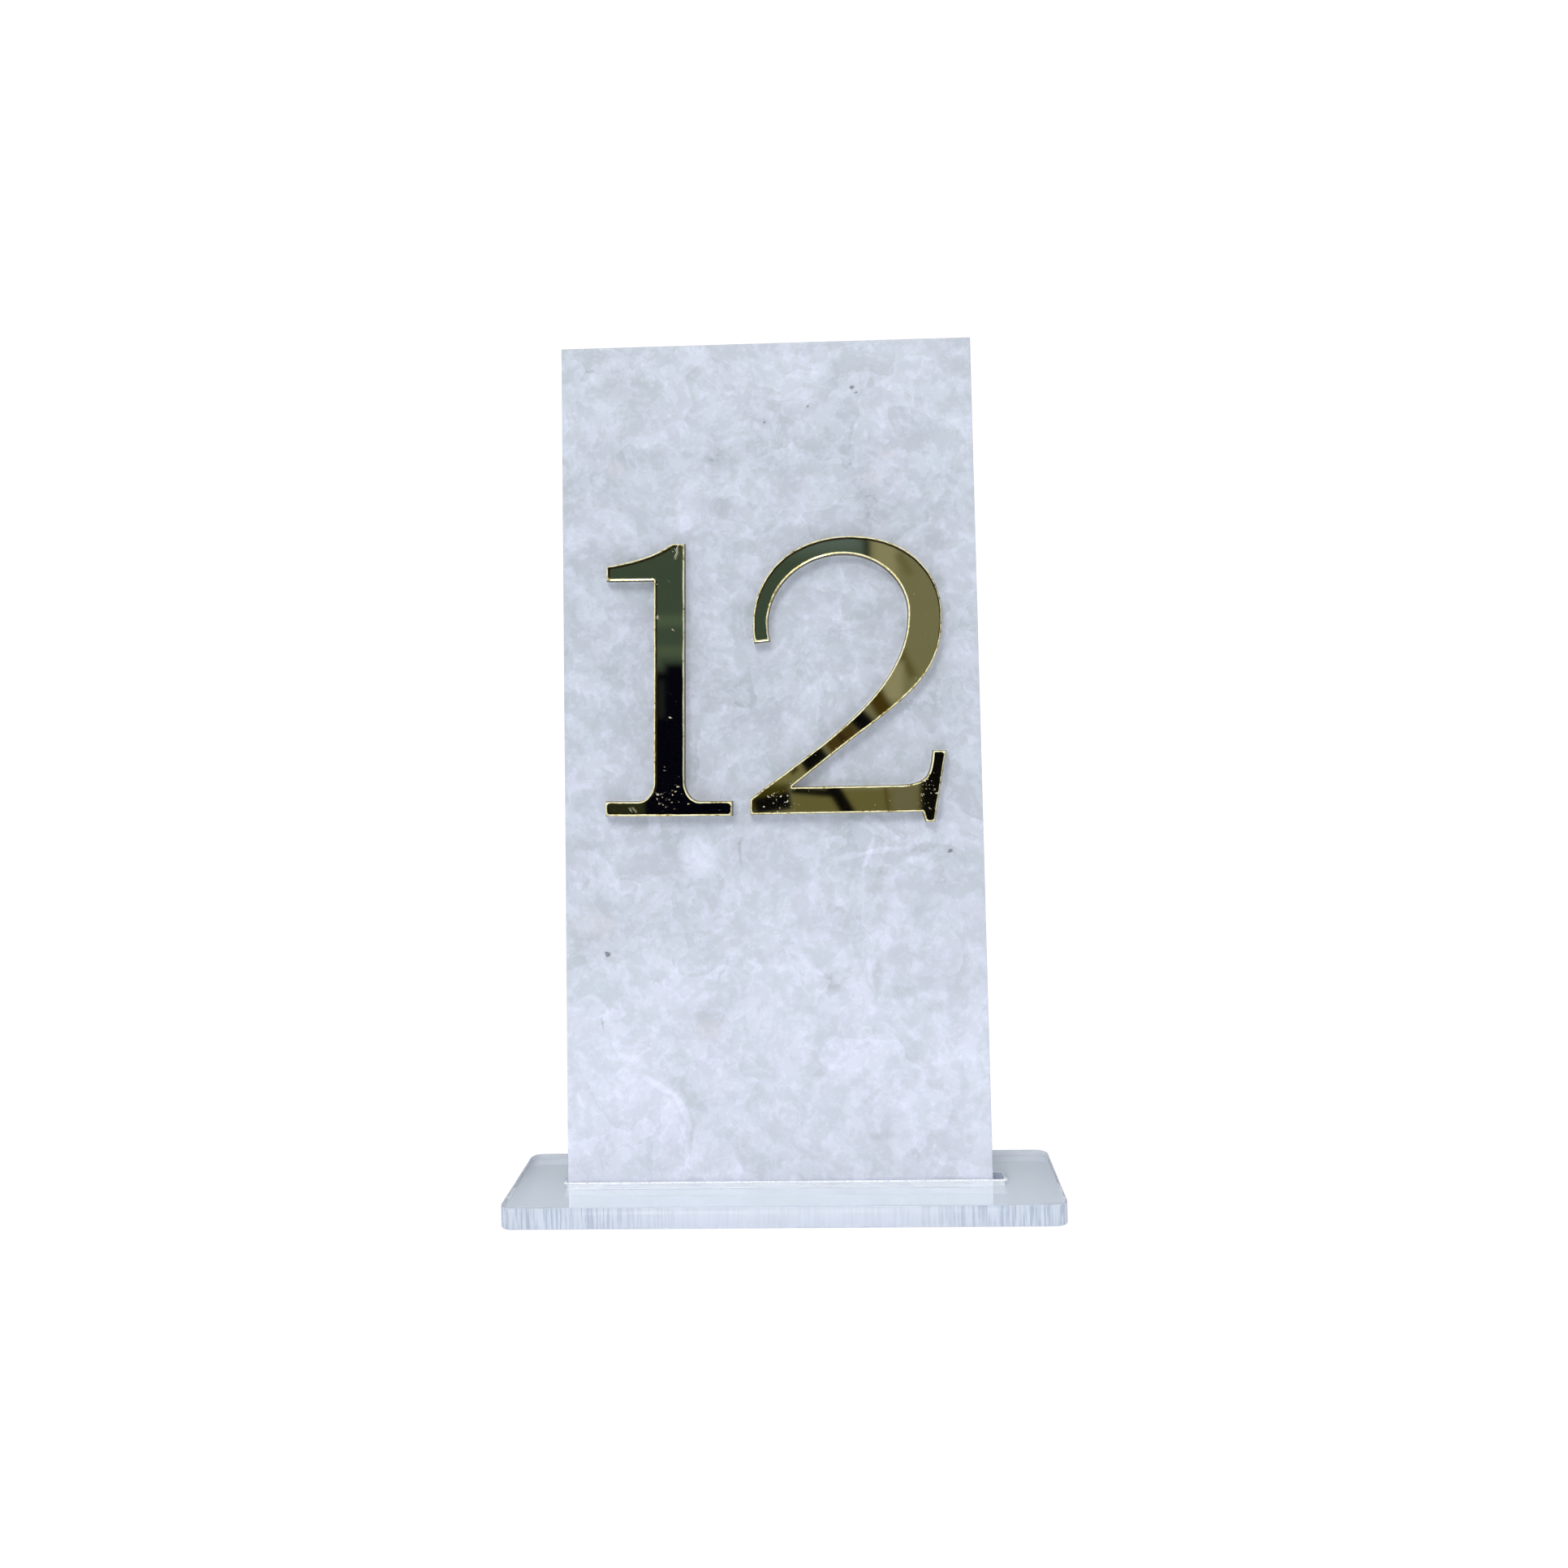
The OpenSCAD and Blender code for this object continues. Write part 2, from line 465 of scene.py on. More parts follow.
def marble(name="marble_acrylic"):
    """Pale blue-grey marble: soft clouds, ragged white clumps, and placed specks and veins."""
    n = Nodes(name)
    place = plaque_place(n)
    swirl = n.warp(place, 4.0, 22.0, 2.0)
    crumpled = n.warp(swirl, 1.0, 3.0, 4.0)

    def centred(value, amount):
        return n.math("MULTIPLY", n.math("SUBTRACT", value, 0.5), amount)

    def clumps(where, size, low, high, amount, offset):
        moved = n.vector("ADD", where, (offset, 1.7 * offset, 0))
        level = n.noise(moved, size, 8.0, 0.66)
        return centred(n.steps(level, low, high), amount)

    def flakes(size, count, amount, offset):
        moved = n.vector("ADD", crumpled, (offset, 1.7 * offset, 0))
        rise = n.math("FRACT", n.math("MULTIPLY", n.noise(moved, size, 2.0, 0.5), count))
        crest = n.math("SUBTRACT", n.math("POWER", rise, 1.4), 0.42)
        shown = n.steps(n.noise(moved, 0.9 * size, 1.0), 0.42, 0.60, 0.15, 1.0)
        return n.math("MULTIPLY", n.math("MULTIPLY", crest, shown), amount)

    height = n.add("ShaderNodeSeparateXYZ", {0: place}).outputs[1]
    # Lighter towards the foot: partly the marble's own tone, partly painted light for the
    # brightening from the pale floor below.
    tone = n.steps(height, 120.0, 6.0, 0.38, 0.70)
    for part in (
        centred(n.noise(swirl, 42.0, 2.0, 0.5), 0.36),
        flakes(21.0, 4.0, 0.17, 31.0),
        flakes(10.0, 3.0, 0.12, 77.0),
        clumps(swirl, 14.0, 0.45, 0.56, 0.09, 0.0),
        clumps(crumpled, 6.0, 0.48, 0.55, 0.13, 40.0),
        clumps(crumpled, 2.4, 0.51, 0.58, 0.12, 90.0),
        centred(n.noise(place, 1.1, 3.0, 0.7), 0.16),
    ):
        tone = n.math("ADD", tone, part)
    frayed = n.warp(place, 1.2, 3.0, 4.0)
    for amount, centre, size, angle in DARK_SPOTS:
        spot = n.blob(frayed, centre, size, angle, 0.6)
        tone = n.math("ADD", tone, n.math("MULTIPLY", spot, -amount))
    for amount, start, end, width in LIGHT_VEINS:
        vein = n.stroke(n.warp(place, 0.5, 2.5), start, end, width)
        tone = n.math("ADD", tone, n.math("MULTIPLY", vein, amount))
    glints = n.steps(n.noise(place, 0.9, 3.0, 0.8), 0.66, 0.74)
    tone = n.math("ADD", tone, n.math("MULTIPLY", glints, 0.22))
    colour = n.ramp(tone, (
        (0.00, shade(126, 130, 136)),
        (0.08, shade(170, 176, 184)),
        (0.25, shade(182, 188, 197)),
        (0.50, shade(197, 202, 214)),
        (0.80, shade(214, 218, 232)),
        (1.00, shade(226, 229, 246)),
    ))
    hue = n.ramp(n.noise(swirl, 12.0, 3.0, 0.6), (
        (0.30, (0.98, 1.0, 0.995, 1)),
        (0.50, (1.0, 1.0, 1.0, 1)),
        (0.70, (1.0, 0.975, 0.99, 1)),
    ))
    colour = n.mix(1.0, colour, hue, "MULTIPLY")
    for centre, size in PINK_PATCHES:
        patch = n.math("MULTIPLY", n.blob(crumpled, centre, (size, 0.7 * size), 0.0, 0.9), 0.35)
        colour = n.mix(patch, colour, shade(204, 198, 204))
    relief = n.noise(crumpled, 5.0, 4.0, 0.6)
    bump = n.add("ShaderNodeBump", {"Height": relief, "Distance": 0.00002, "Strength": 0.15})
    n.surface(Base_Color=colour, Roughness=0.16, IOR=ACRYLIC_IOR, Normal=bump.outputs[0])
    return n.material


# Darker places in the marble, in mm on the plaque: amount, centre, half size, angle in degrees
DARK_SPOTS = (
    (0.46, (20.7, 193.5), (0.6, 0.45), 20),
    (0.32, (21.9, 192.2), (0.4, 0.3), 0),
    (0.28, (10.5, 189.2), (0.45, 0.3), 40),
    (0.22, (-0.4, 185.3), (0.5, 0.3), 60),
    (0.08, (23.8, 176.8), (7.0, 4.0), 70),
    (0.10, (24.0, 165.5), (5.5, 2.2), 80),
    (0.08, (-36.0, 195.0), (6.0, 3.0), 15),
    (0.14, (-12.8, 178.0), (1.8, 5.0), 0),
    (0.75, (-39.9, 57.8), (0.7, 0.6), 0),
    (0.20, (-43.2, 62.0), (1.6, 1.2), 20),
    (0.08, (-43.0, 64.0), (6.0, 9.0), 0),
    (0.35, (-41.3, 41.3), (0.3, 1.4), 10),
    (0.30, (-24.0, 55.8), (0.25, 1.0), 15),
    (0.26, (-12.4, 53.8), (0.4, 3.2), -25),
    (0.26, (42.0, 81.3), (0.5, 0.4), 0),
    (0.20, (35.1, 81.8), (2.4, 1.4), 10),
    (0.20, (25.4, 76.2), (2.2, 1.4), -20),
    (0.14, (34.6, 67.1), (2.6, 1.5), 30),
    (0.22, (13.1, 50.8), (2.6, 1.3), -30),
    (0.20, (24.0, 52.0), (1.0, 3.6), -10),
    (0.18, (28.4, 48.2), (4.0, 1.3), 8),
    (0.18, (37.0, 44.7), (2.2, 1.4), 0),
    (0.10, (-18.6, 44.0), (8.0, 12.0), 20),
    (0.12, (-17.4, 41.0), (3.4, 3.2), 60),
    (0.24, (-21.4, 25.0), (5.6, 2.0), -48),
    (0.26, (-21.0, 15.0), (0.9, 4.6), -4),
    (0.18, (-30.6, 11.5), (0.8, 3.6), 0),
    (0.12, (31.6, 30.6), (2.2, 5.0), -6),
    (0.16, (8.8, 29.5), (2.6, 1.0), 0),
    (0.18, (24.5, 15.1), (3.2, 0.9), 5),
    (0.24, (-8.0, 81.5), (0.35, 3.2), 5),
)

# Lighter streaks: amount, start, end, width
LIGHT_VEINS = (
    (0.20, (-20.5, 85.4), (-14.2, 77.1), 8.0),
    (0.22, (14.8, 79.6), (21.6, 80.9), 1.6),
    (0.22, (21.6, 80.9), (29.3, 81.9), 1.3),
    (0.20, (24.0, 84.5), (21.2, 76.5), 1.3),
    (0.18, (31.0, 79.4), (38.5, 77.6), 2.4),
    (0.18, (-21.4, 161.0), (-18.4, 161.2), 4.0),
    (0.14, (13.0, 121.4), (16.6, 120.4), 3.0),
    (0.16, (22.0, 55.9), (22.8, 49.4), 1.2),
    (0.20, (-31.8, 29.2), (-24.1, 24.6), 1.6),
    (0.20, (-24.1, 24.6), (-20.4, 17.0), 1.6),
    (0.18, (-20.9, 18.0), (-22.0, 7.7), 1.3),
)

# Places with a pinkish brown tint: centre, half width
PINK_PATCHES = (
    ((-36.7, 174.4), 2.2),
    ((24.5, 170.8), 2.0),
    ((28.7, 177.7), 1.6),
    ((-43.0, 66.4), 5.0),
    ((-17.0, 40.0), 3.0),
)


def clear_acrylic(name="clear_acrylic"):
    """Polished clear acrylic with the faintest unevenness."""
    n = Nodes(name)
    place = metric_place(n)
    wave = n.noise(place, 18.0, 1.0)
    bump = n.add("ShaderNodeBump", {"Height": wave, "Distance": 0.00003, "Strength": 0.3})
    tint = n.mix(n.noise(place, 30.0, 2.0), shade(249, 251, 253), shade(251, 253, 254))
    n.surface(Base_Color=tint, Roughness=0.0, IOR=ACRYLIC_IOR, Transmission_Weight=1.0)
    n.surface(Normal=bump.outputs[0])
    return n.material


def cut_acrylic(name="cut_acrylic"):
    """The laser-cut edge of clear acrylic: finely fluted, frosted most at the ends and back, its
    ends darkened with painted shade.
    """
    n = Nodes(name)
    place = metric_place(n)
    flutes = n.noise(n.vector("MULTIPLY", place, (1, 1, 0.05)), 0.8, 3.0, 0.6)
    tint = n.ramp(flutes, ((0.42, (0.44, 0.50, 0.60, 1)), (0.54, (0.70, 0.75, 0.84, 1))))
    across, depth, _ = n.add("ShaderNodeSeparateXYZ", {0: place}).outputs
    # Painted shade: the edge's ends get a darker striated tint and are less clear than its front
    # middle, except where the edge is seen from inside.
    painted_end_shade = n.steps(n.math("ABSOLUTE", across), 20.0, 52.0, 0.25, 1.0)
    inside = n.add("ShaderNodeNewGeometry").outputs["Backfacing"]
    painted_end_shade = n.math("MULTIPLY", painted_end_shade, n.math("SUBTRACT", 1.0, inside))
    tint = n.mix(painted_end_shade, (0.91, 0.94, 1.0, 1), tint)
    clear = n.steps(depth, -12.0, 15.0, 0.78, 0.05)
    clear = n.math("MULTIPLY", clear, n.math("SUBTRACT", 1.0, n.math("MULTIPLY", painted_end_shade, 0.5)))
    n.surface(Base_Color=tint, Roughness=0.18, IOR=ACRYLIC_IOR, Transmission_Weight=clear)
    return n.material


def frosted_arris_and_painted_glints(name="frosted_arris_and_painted_glints"):
    """The frosted arris along a laser cut, whitest and beaded on the slot's front lip, where the
    white beads are painted glints.
    """
    n = Nodes(name)
    place = metric_place(n)
    beads = n.noise(place, 0.5, 3.0, 0.7)
    depth = n.add("ShaderNodeSeparateXYZ", {0: place}).outputs[1]
    lip = n.math("MULTIPLY", n.steps(depth, -14.0, -10.0), n.steps(depth, -1.0, -2.0))
    # Painted glints: white beads on the slot's front lip, which is also less clear; the other
    # arrises keep a greyer tint.
    white = n.ramp(beads, ((0.40, (0.66, 0.72, 0.84, 1)), (0.52, (1.0, 1.0, 1.0, 1))))
    tint = n.mix(lip, (0.66, 0.71, 0.79, 1), white)
    clear = n.math("SUBTRACT", 0.55, n.math("MULTIPLY", lip, 0.50))
    n.surface(Base_Color=tint, Roughness=0.35, IOR=ACRYLIC_IOR, Transmission_Weight=clear)
    return n.material


# Scratches and flecks on the numerals' faces, in mm on the plaque: start, end, width
FACE_MARKS = (
    ((-22.2, 153.7), (-21.5, 155.4), 0.12),
    ((-22.5, 152.2), (-21.6, 154.1), 0.12),
    ((-33.4, 92.8), (-32.4, 91.4), 0.07),
    ((-34.2, 92.6), (-33.5, 91.6), 0.07),
    ((-24.2, 113.8), (-24.0, 114.0), 0.40),
    ((-22.6, 97.3), (-22.4, 97.5), 0.35),
    ((-27.4, 95.5), (-27.2, 95.7), 0.35),
    ((-23.3, 135.0), (-23.1, 135.0), 0.30),
    ((-26.9, 137.6), (-26.7, 138.5), 0.15),
)

# Dusty places on the numerals' faces: centre, half size
DUSTY = (
    ((2.0, 94.2), (4.5, 3.2)),
    ((37.4, 95.0), (3.2, 6.5)),
    ((-24.5, 94.5), (5.0, 3.0)),
    ((-22.4, 154.0), (2.0, 2.6)),
)


def gold_acrylic(name="gold_acrylic"):
    """Transparent gold-tinted acrylic, with a few scratches and specks of dust on its face."""
    n = Nodes(name)
    place = plaque_place(n)
    tint = n.mix(n.noise(place, 6.0, 2.0), (0.885, 0.815, 0.56, 1), (0.895, 0.825, 0.58, 1))
    marks = 0.0
    for start, end, width in FACE_MARKS:
        marks = n.math("MAXIMUM", marks, n.stroke(place, start, end, width))
    dusty = 0.0
    for centre, size in DUSTY:
        dusty = n.math("MAXIMUM", dusty, n.blob(place, centre, size, 0.0, 0.6))
    threshold = n.math("SUBTRACT", 0.76, n.math("MULTIPLY", dusty, 0.09))
    grain = n.math("SUBTRACT", n.noise(place, 0.8, 2.0, 0.6), threshold)
    marks = n.math("MAXIMUM", marks, n.steps(grain, 0.0, 0.02))
    marks = n.math("MULTIPLY", marks, 0.8)
    tint = n.mix(marks, tint, (0.88, 0.87, 0.80, 1))
    clear = n.math("SUBTRACT", 1.0, marks)
    n.surface(Base_Color=tint, Roughness=0.0, IOR=ACRYLIC_IOR, Transmission_Weight=clear)
    return n.material


def rim_acrylic(name="gold_rim"):
    """The bevelled rim round a numeral's front face: frosted, pale gold, singed in places, and
    dark with painted shade where it is seen from inside the acrylic."""
    n = Nodes(name)
    place = plaque_place(n)
    beads = n.noise(place, 0.8, 3.0, 0.7)
    singed = n.math("MULTIPLY", n.steps(n.noise(place, 9.0, 2.0), 0.48, 0.62), -0.10)
    tint = n.ramp(n.math("ADD", beads, singed), (
        (0.30, shade(120, 92, 44)),
        (0.40, shade(224, 216, 150)),
        (0.50, shade(253, 251, 212)),
        (0.75, shade(255, 254, 232)),
    ))
    # Painted shade: seen from inside the acrylic, as in its image in the mirror coat, the rim turns
    # near-black and less clear.
    inside = n.add("ShaderNodeNewGeometry").outputs["Backfacing"]
    tint = n.mix(inside, tint, (0.05, 0.03, 0.01, 1))
    clear = n.math("SUBTRACT", 0.45, n.math("MULTIPLY", inside, 0.30))
    n.surface(Base_Color=tint, Roughness=0.25, IOR=ACRYLIC_IOR, Transmission_Weight=clear)
    return n.material


def side_acrylic(name="gold_side"):
    """The sawn side of a numeral: the gold seen edge on, deep amber."""
    n = Nodes(name)
    place = plaque_place(n)
    streak = n.noise(n.vector("MULTIPLY", place, (1, 1, 0.1)), 0.6, 3.0, 0.6)
    tint = n.mix(streak, (0.015, 0.010, 0.004, 1), (0.11, 0.07, 0.025, 1))
    n.surface(Base_Color=tint, Roughness=0.30, IOR=ACRYLIC_IOR, Transmission_Weight=0.15)
    return n.material


def mirror_coat(name="mirror_coat"):
    """Silvered back of the gold acrylic."""
    n = Nodes(name)
    place = plaque_place(n)
    tint = n.mix(n.noise(place, 5.0, 3.0), (0.90, 0.89, 0.86, 1), (0.94, 0.93, 0.90, 1))
    n.surface(Base_Color=tint, Metallic=1.0, Roughness=0.02)
    return n.material


def adhesive(name="adhesive_film"):
    """Milky adhesive film."""
    n = Nodes(name)
    place = metric_place(n)
    tint = n.mix(n.noise(place, 1.5, 3.0), shade(226, 226, 220), shade(238, 238, 232))
    n.surface(Base_Color=tint, Roughness=0.45, IOR=ADHESIVE_IOR)
    return n.material


# ---------------------------------------------------------------- the object

SHEET_THICKNESS = 5.0

# Rings of a numeral's edge: inset, depth, and the material after it (1 rim, 2 side)
RIM = (
    (0.50, 0.0, 1), (0.45, 0.03, 1), (0.32, 0.14, 1), (0.16, 0.36, 2),
    (0.06, 0.75, 2), (0.0, 1.30, 2), (0.0, 1.95, 2), (0.0, 2.59, 2),
)


def make_pieces():
    """The four cut sheets, and materials on the CAD nodes that stay."""
    clear, cut, arris = clear_acrylic(), cut_acrylic(), frosted_arris_and_painted_glints()
    marbled, mirror, film = marble(), mirror_coat(), adhesive()
    gold, rim, side = gold_acrylic(), rim_acrylic(), side_acrylic()

    outside = edge_profile(SHEET_THICKNESS, 0.18, 6)
    slot_edge = [(0.80, 0.0, 2), (0.42, -0.20, 2), (0.18, -0.20, 2), (0.06, 0.0, 2)] + outside[2:]
    base = cut_sheet(
        "base_plate_cut", "base_plate", BASE_AXES, outside, hole_profile=slot_edge,
        step=0.15, mark_depth=0.06, mark_widths=(0.25, 0.5, 1.5), seed=3, fillet=0.1, lag=0.5,
    )
    for material in (clear, cut, arris):
        base.data.materials.append(material)
    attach(base, "base")

    sheet = cut_sheet(
        "plaque_sheet", "plaque", PLAQUE_AXES, edge_profile(SHEET_THICKNESS, 0.25, 3),
        step=0.5, mark_depth=0.02, mark_widths=(0.8, 2.0), seed=11, fillet=0.2, lag=0.5,
    )
    for _ in range(3):
        sheet.data.materials.append(marbled)
    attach(sheet, "plaque")

    for number in (1, 2):
        node = f"numeral_{number}_acrylic"
        face = cut_sheet(
            f"numeral_{number}_front", node, PLAQUE_AXES, RIM, step=0.25, mark_depth=0.02,
            mark_widths=(0.4, 1.0), seed=20 + number, fillet=0.8, ragged=0.24,
        )
        for material in (gold, rim, side):
            face.data.materials.append(material)
        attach(face, "plaque")
        for layer, material in (("mirror_coat", mirror), ("adhesive", film)):
            kept = frame["nodes"][f"numeral_{number}_{layer}"]
            kept.data.materials.clear()
            kept.data.materials.append(material)


# ---------------------------------------------------------------- stage

# Sizes and places in metres. DOME_FOOT is an elevation in degrees.
DAYLIGHT = 0.72
BACKDROP_GLOW = 1.05
BACKDROP_RADIUS = 5.0
SHELL_RADIUS = 2.6
DOME_FOOT = -8
FLOOR_HALF, FLOOR_HEIGHT = 6.0, -0.0004
TABLE_HALF, TABLE_HEIGHT = 2.5, -0.0001
TABLE_COLOUR = (0.86, 0.91, 0.97, 1)
LIGHT_PLACE = Vector((-0.35, -1.0, 1.15))
LIGHT_AIM = Vector((0, 0, 0.1))
LIGHT_SIZE = 0.5
LIGHT_POWER = 9.0


def glow(name, colour, strength, attribute=None):
    """A light-giving material for the stage: one colour, or a mesh attribute, whose colours show
    in reflections and whose alpha is plain daylight on matt surfaces, as under the acrylic."""
    n = Nodes(name)
    n.tree.nodes.remove(n.shader)
    if attribute:
        painted = n.add("ShaderNodeAttribute", attribute_name=attribute)
        bounces = n.add("ShaderNodeLightPath").outputs["Diffuse Depth"]
        lit = n.math("GREATER_THAN", bounces, 0.5)
        colour = n.mix(lit, painted.outputs["Color"], painted.outputs["Alpha"])
    emission = n.add("ShaderNodeEmission", {"Color": colour, "Strength": strength})
    n.tree.links.new(emission.outputs[0], n.tree.nodes["Material Output"].inputs[0])
    return n.material


def seen_by(thing, *rays):
    """Only these kinds of ray meet the object."""
    for ray in ("camera", "diffuse", "glossy", "transmission", "shadow"):
        setattr(thing, f"visible_{ray}", ray in rays)
    thing.visible_volume_scatter = False


def stage_grid(name, places, columns, material, colours=None):
    """A stage sheet through rows of places, with a colour at each where given."""
    count = len(places)
    faces = [
        (i, i + 1, i + 1 + columns, i + columns)
        for i in range(count - columns)
        if (i + 1) % columns
    ]
    data = bpy.data.meshes.new(name)
    data.from_pydata([tuple(place) for place in places], [], faces)
    if colours is not None:
        layer = data.attributes.new("colour", "FLOAT_COLOR", "POINT")
        layer.data.foreach_set("color", np.ascontiguousarray(colours, np.float32).ravel())
    data.polygons.foreach_set("use_smooth", [True] * len(data.polygons))
    data.materials.append(material)
    thing = bpy.data.objects.new(name, data)
    bpy.context.scene.collection.objects.link(thing)
    return thing


def soft_bar(x, y, start, end, width, blur):
    """1 on the bar of that width from start to end, falling to 0 over blur at its edges."""
    span = math.dist(start, end)
    cos, sin = (end[0] - start[0]) / span, (end[1] - start[1]) / span
    along = (x - start[0]) * cos + (y - start[1]) * sin
    aside = (y - start[1]) * cos - (x - start[0]) * sin
    inside = np.minimum(np.minimum(along, span - along), width / 2 - np.abs(aside))
    share = np.clip(inside / blur + 0.5, 0, 1)
    return share * share * (3 - 2 * share)


# The share of the room's light that a gold numeral sends back
GOLD_RETURN = (0.776, 0.666, 0.334)

# What the numerals mirror, in mm on the plaque, painted in this order: 8-bit colour as it shows
# in the gold, start and end of a bar, its width and blur
MIRRORED = (
    ((113, 110, 74), (-90, 125), (90, 125), 200, 1.0),
    ((60, 72, 55), (-90, 160), (23.8, 160), 84, 2.2),
    ((72, 85, 62), (-90, 130), (-14, 130), 2.4, 2.0),
    ((74, 88, 64), (-90, 137.3), (-14, 137.3), 2.6, 2.2),
    ((84, 98, 85), (-2, 157), (23, 157), 8, 6.0),
    ((4, 4, 11), (-90, 100), (-4.5, 100), 50.6, 3.0),
    ((4, 4, 11), (-25.4, 122), (-20.0, 122), 10, 2.5),
    ((26, 30, 24), (-26.4, 114), (-26.4, 123), 1.6, 1.6),
    ((38, 41, 22), (-45, 92), (-30.6, 92), 8, 1.2),
    ((30, 34, 25), (23.8, 118), (23.8, 170), 1.2, 2.2),
    ((134, 130, 90), (28.2, 145), (28.2, 160), 5.5, 2.6),
    ((98, 93, 54), (31.4, 152.0), (34.2, 147.4), 1.6, 2.4),
    ((84, 77, 36), (31.2, 129), (34.2, 122.6), 1.8, 2.4),
    ((138, 133, 94), (29.4, 126.0), (29.0, 117.0), 5.0, 2.4),
    ((64, 50, 12), (23.6, 121.0), (27.6, 113.6), 4.2, 2.0),
    ((8, 8, 8), (18.6, 115.2), (23.6, 110.2), 4.6, 1.6),
    ((66, 52, 20), (13.5, 105.8), (20.0, 110.6), 3.6, 1.6),
    ((40, 30, 12), (15.0, 110.4), (18.6, 106.2), 1.0, 1.4),
    ((8, 8, 8), (7.2, 101.4), (12.6, 105.4), 4.0, 1.3),
    ((110, 105, 60), (-2.6, 95.0), (7.0, 102.0), 3.4, 1.4),
    ((52, 46, 14), (4.6, 100.2), (6.0, 101.4), 1.2, 1.0),
    ((60, 55, 16), (-8.0, 94.5), (4.0, 94.5), 6.0, 2.0),
    ((8, 8, 8), (-4.2, 92.2), (4.4, 93.8), 4.0, 1.3),
    ((98, 93, 50), (4.9, 92.4), (45, 92.4), 7.0, 1.0),
    ((10, 10, 7), (4.6, 96.2), (15.4, 95.0), 1.8, 0.9),
    ((8, 8, 6), (14.0, 97.4), (18.8, 89.2), 3.2, 1.1),
    ((76, 64, 28), (26.8, 97.5), (27.7, 89.5), 0.7, 0.8),
    ((102, 98, 66), (31.6, 97), (31.6, 89.5), 6.0, 2.4),
    ((10, 10, 8), (39.4, 108), (39.4, 84), 8.4, 1.4),
)
CARD_DISTANCE = 2000.0


def mirrored_place(u, v):
    """The point on the room card that shows at u, v on the plaque's numerals."""
    middle, foot, _ = sheet_place("plaque")
    coat = sheet_place("numeral_1_mirror_coat")[2]
    eye = CAMERA_PLACE - OUT * 2 * (CAMERA_PLACE.dot(OUT) - coat)
    origin = ACROSS * middle + UP * foot + OUT * coat
    across, up, eye, origin = (np.array(x) for x in (ACROSS, UP, eye, origin))
    points = origin + u[:, None] * across + v[:, None] * up
    reach = (-CARD_DISTANCE - eye[1]) / (points[:, 1] - eye[1])
    return eye + (points - eye) * reach[:, None]


def dome(radius, low):
    """Places on a dome round the object, in metres, down to the elevation low, with the azimuth
    from the front and the elevation of each, and the number of columns."""
    azimuth, elevation = np.meshgrid(np.arange(-180, 180.1, 3), np.arange(low, 90.1, 2))
    columns = azimuth.shape[1]
    azimuth, elevation = azimuth.ravel(), elevation.ravel()
    a, e = np.radians(azimuth), np.radians(elevation)
    ahead = np.stack([np.sin(a) * np.cos(e), -np.cos(a) * np.cos(e), np.sin(e)], axis=1)
    return radius * ahead, azimuth, elevation, columns


# What else is in the room, by azimuth from the front and elevation in degrees, painted in this
# order: light, daylight under the acrylic, left, right, low and high ends, blur
ROOM = (
    ((0.60, 0.62, 0.66), 1.0, -200, 200, -90, 200, 1),
    ((1.5, 1.5, 1.5), 1.0, -90, 90, 17, 95, 5),
    ((1.2, 1.2, 1.2), 1.0, 14, 80, -10, 20, 5),
    ((0.03, 0.03, 0.04), 1.0, -80, -18, -10, 15, 4),
    ((0.12, 0.13, 0.15), 1.0, 105, 255, -10, 60, 10),
    ((0.12, 0.13, 0.15), 1.0, -255, -105, -10, 60, 10),
)
LOW_DAYLIGHT = 4.8


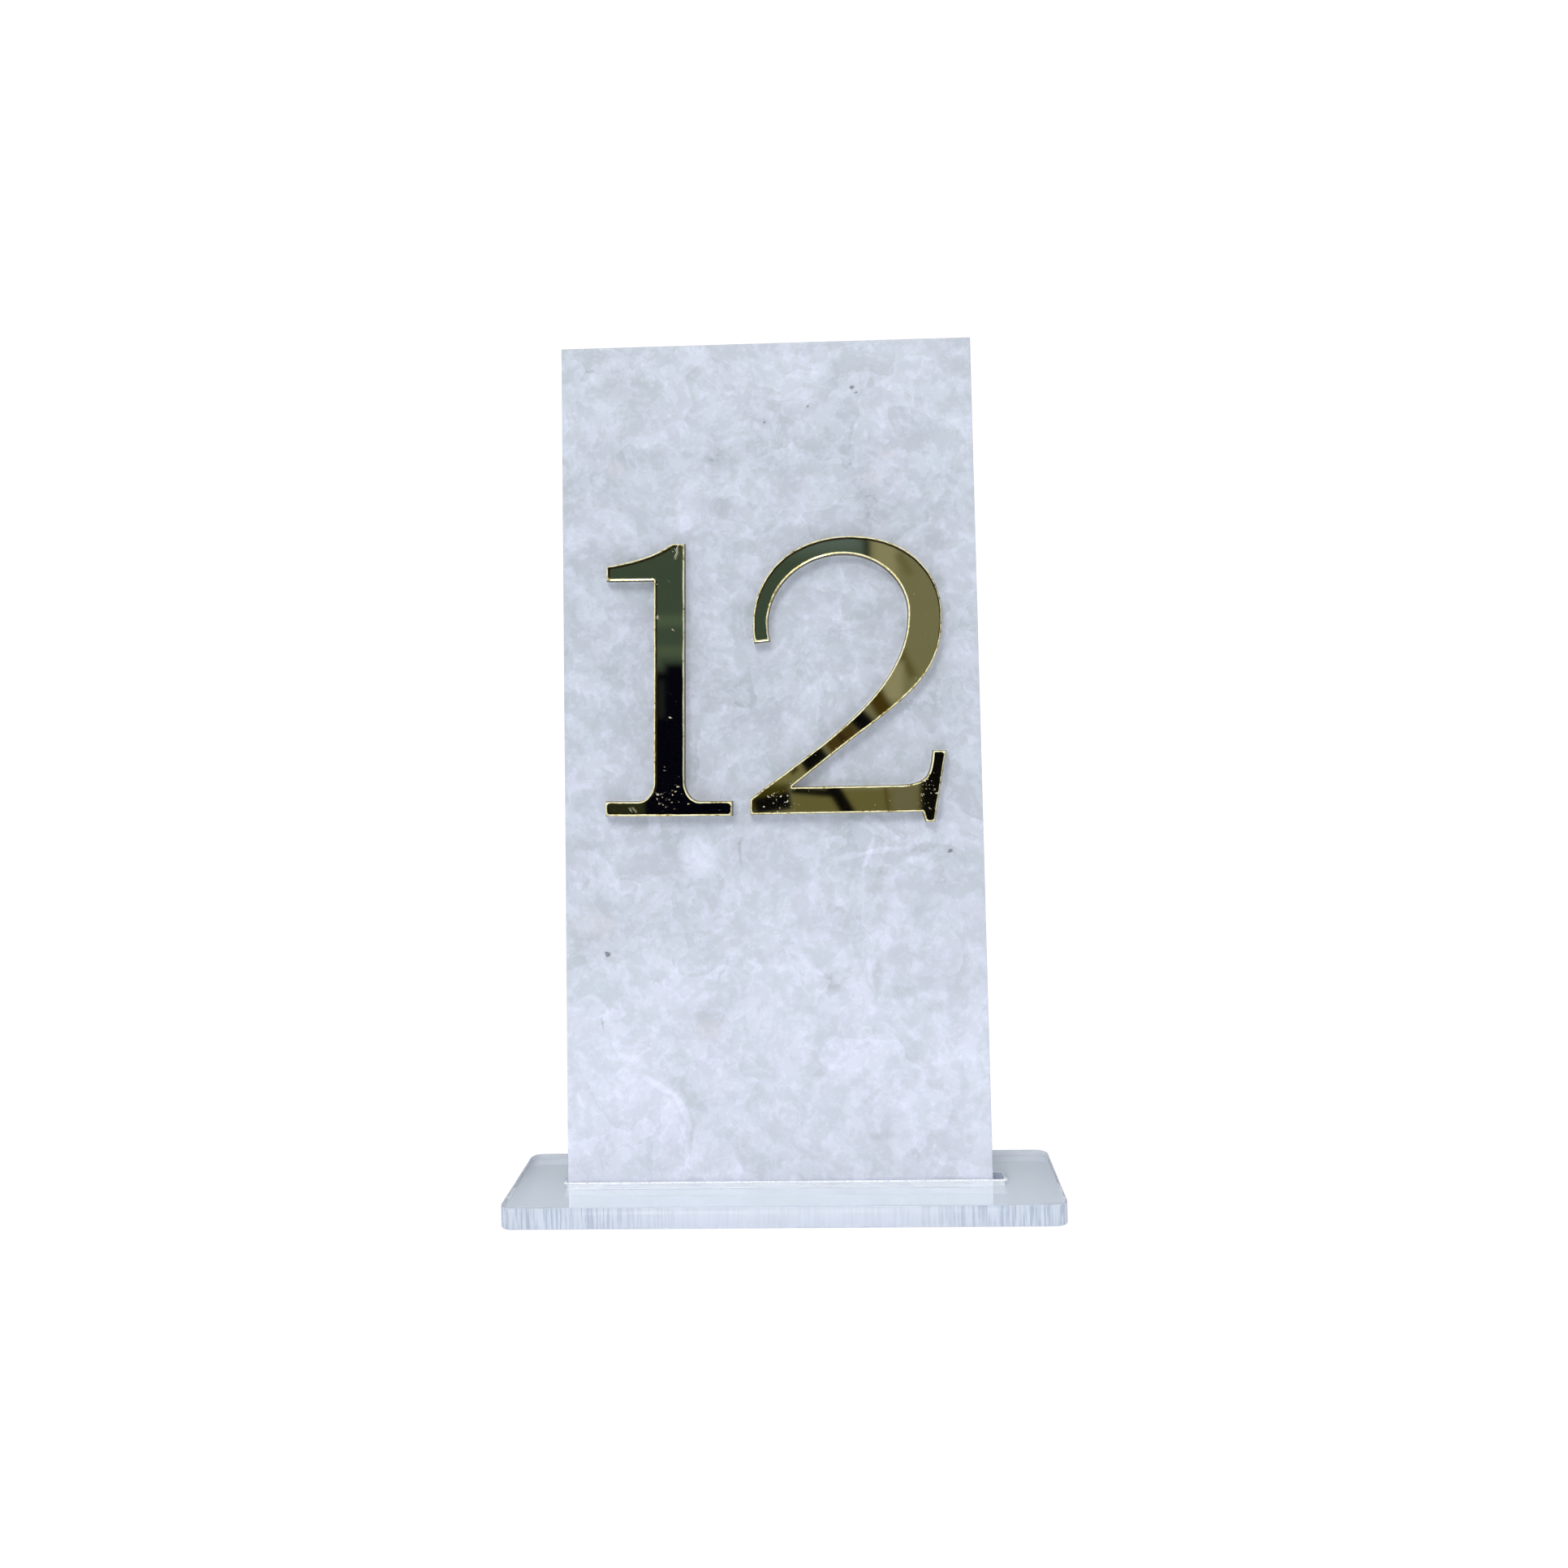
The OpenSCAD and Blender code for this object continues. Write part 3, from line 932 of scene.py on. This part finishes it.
def make_room():
    """The room that only reflections and refractions see."""
    u, v = np.meshgrid(np.arange(-75, 75.1, 0.5), np.arange(60, 190.1, 0.5))
    columns = u.shape[1]
    u, v = u.ravel(), v.ravel()
    colours = np.full((len(u), 4), LOW_DAYLIGHT)
    for shown, start, end, width, blur in MIRRORED:
        light = np.array(shade(*shown)[:3]) / GOLD_RETURN
        share = soft_bar(u, v, start, end, width, blur)
        colours[:, :3] += share[:, None] * (light - colours[:, :3])
    material = glow("room_card", None, 1.0, "colour")
    card = stage_grid("room_card", mirrored_place(u, v) * MM, columns, material, colours)
    seen_by(card, "glossy", "transmission")

    places, azimuth, elevation, columns = dome(SHELL_RADIUS, DOME_FOOT)
    colours = np.ones((len(places), 4))
    for light, daylight, left, right, low, high, blur in ROOM:
        middle = (low + high) / 2
        share = soft_bar(azimuth, elevation, (left, middle), (right, middle), high - low, blur)
        colours += share[:, None] * (np.array((*light, daylight)) - colours)
    front = soft_bar(azimuth, elevation, (-100, 10), (100, 10), 40, 20)
    colours[:, 3] += front * (LOW_DAYLIGHT - colours[:, 3])
    material = glow("room_shell", None, 1.0, "colour")
    shell = stage_grid("room_shell", places, columns, material, colours)
    seen_by(shell, "glossy", "transmission")


def flat_patch(name, half, height, material):
    """A square stage sheet, level, centred under the object."""
    corners = [(x * half, y * half, height) for y in (-1, 1) for x in (-1, 1)]
    return stage_grid(name, corners, 2, material)


def make_stage():
    """White floor and backdrop, the table that shows through the acrylic, and the light."""
    white = glow("backdrop", (1, 1, 1, 1), BACKDROP_GLOW)
    seen_by(flat_patch("floor", FLOOR_HALF, FLOOR_HEIGHT, white), "camera")
    places, _, _, columns = dome(BACKDROP_RADIUS, DOME_FOOT)
    seen_by(stage_grid("backdrop", places, columns, white), "camera")

    table_nodes = Nodes("table")
    table_nodes.surface(Base_Color=TABLE_COLOUR, Roughness=0.6)
    table = flat_patch("table", TABLE_HALF, TABLE_HEIGHT, table_nodes.material)
    seen_by(table, "diffuse", "glossy", "transmission", "shadow")

    world = bpy.data.worlds.new("world")
    bpy.context.scene.world = world
    world.use_nodes = True
    background = world.node_tree.nodes["Background"]
    background.inputs["Color"].default_value = (DAYLIGHT, DAYLIGHT, DAYLIGHT, 1)

    light = bpy.data.objects.new("key_light", bpy.data.lights.new("key_light", "AREA"))
    light.data.size = LIGHT_SIZE
    light.data.energy = LIGHT_POWER
    light.location = LIGHT_PLACE
    light.rotation_mode = "QUATERNION"
    light.rotation_quaternion = (LIGHT_AIM - LIGHT_PLACE).to_track_quat("-Z", "Y")
    bpy.context.scene.collection.objects.link(light)

    bpy.context.scene.view_settings.view_transform = "Standard"


make_camera()
make_pieces()
make_room()
make_stage()
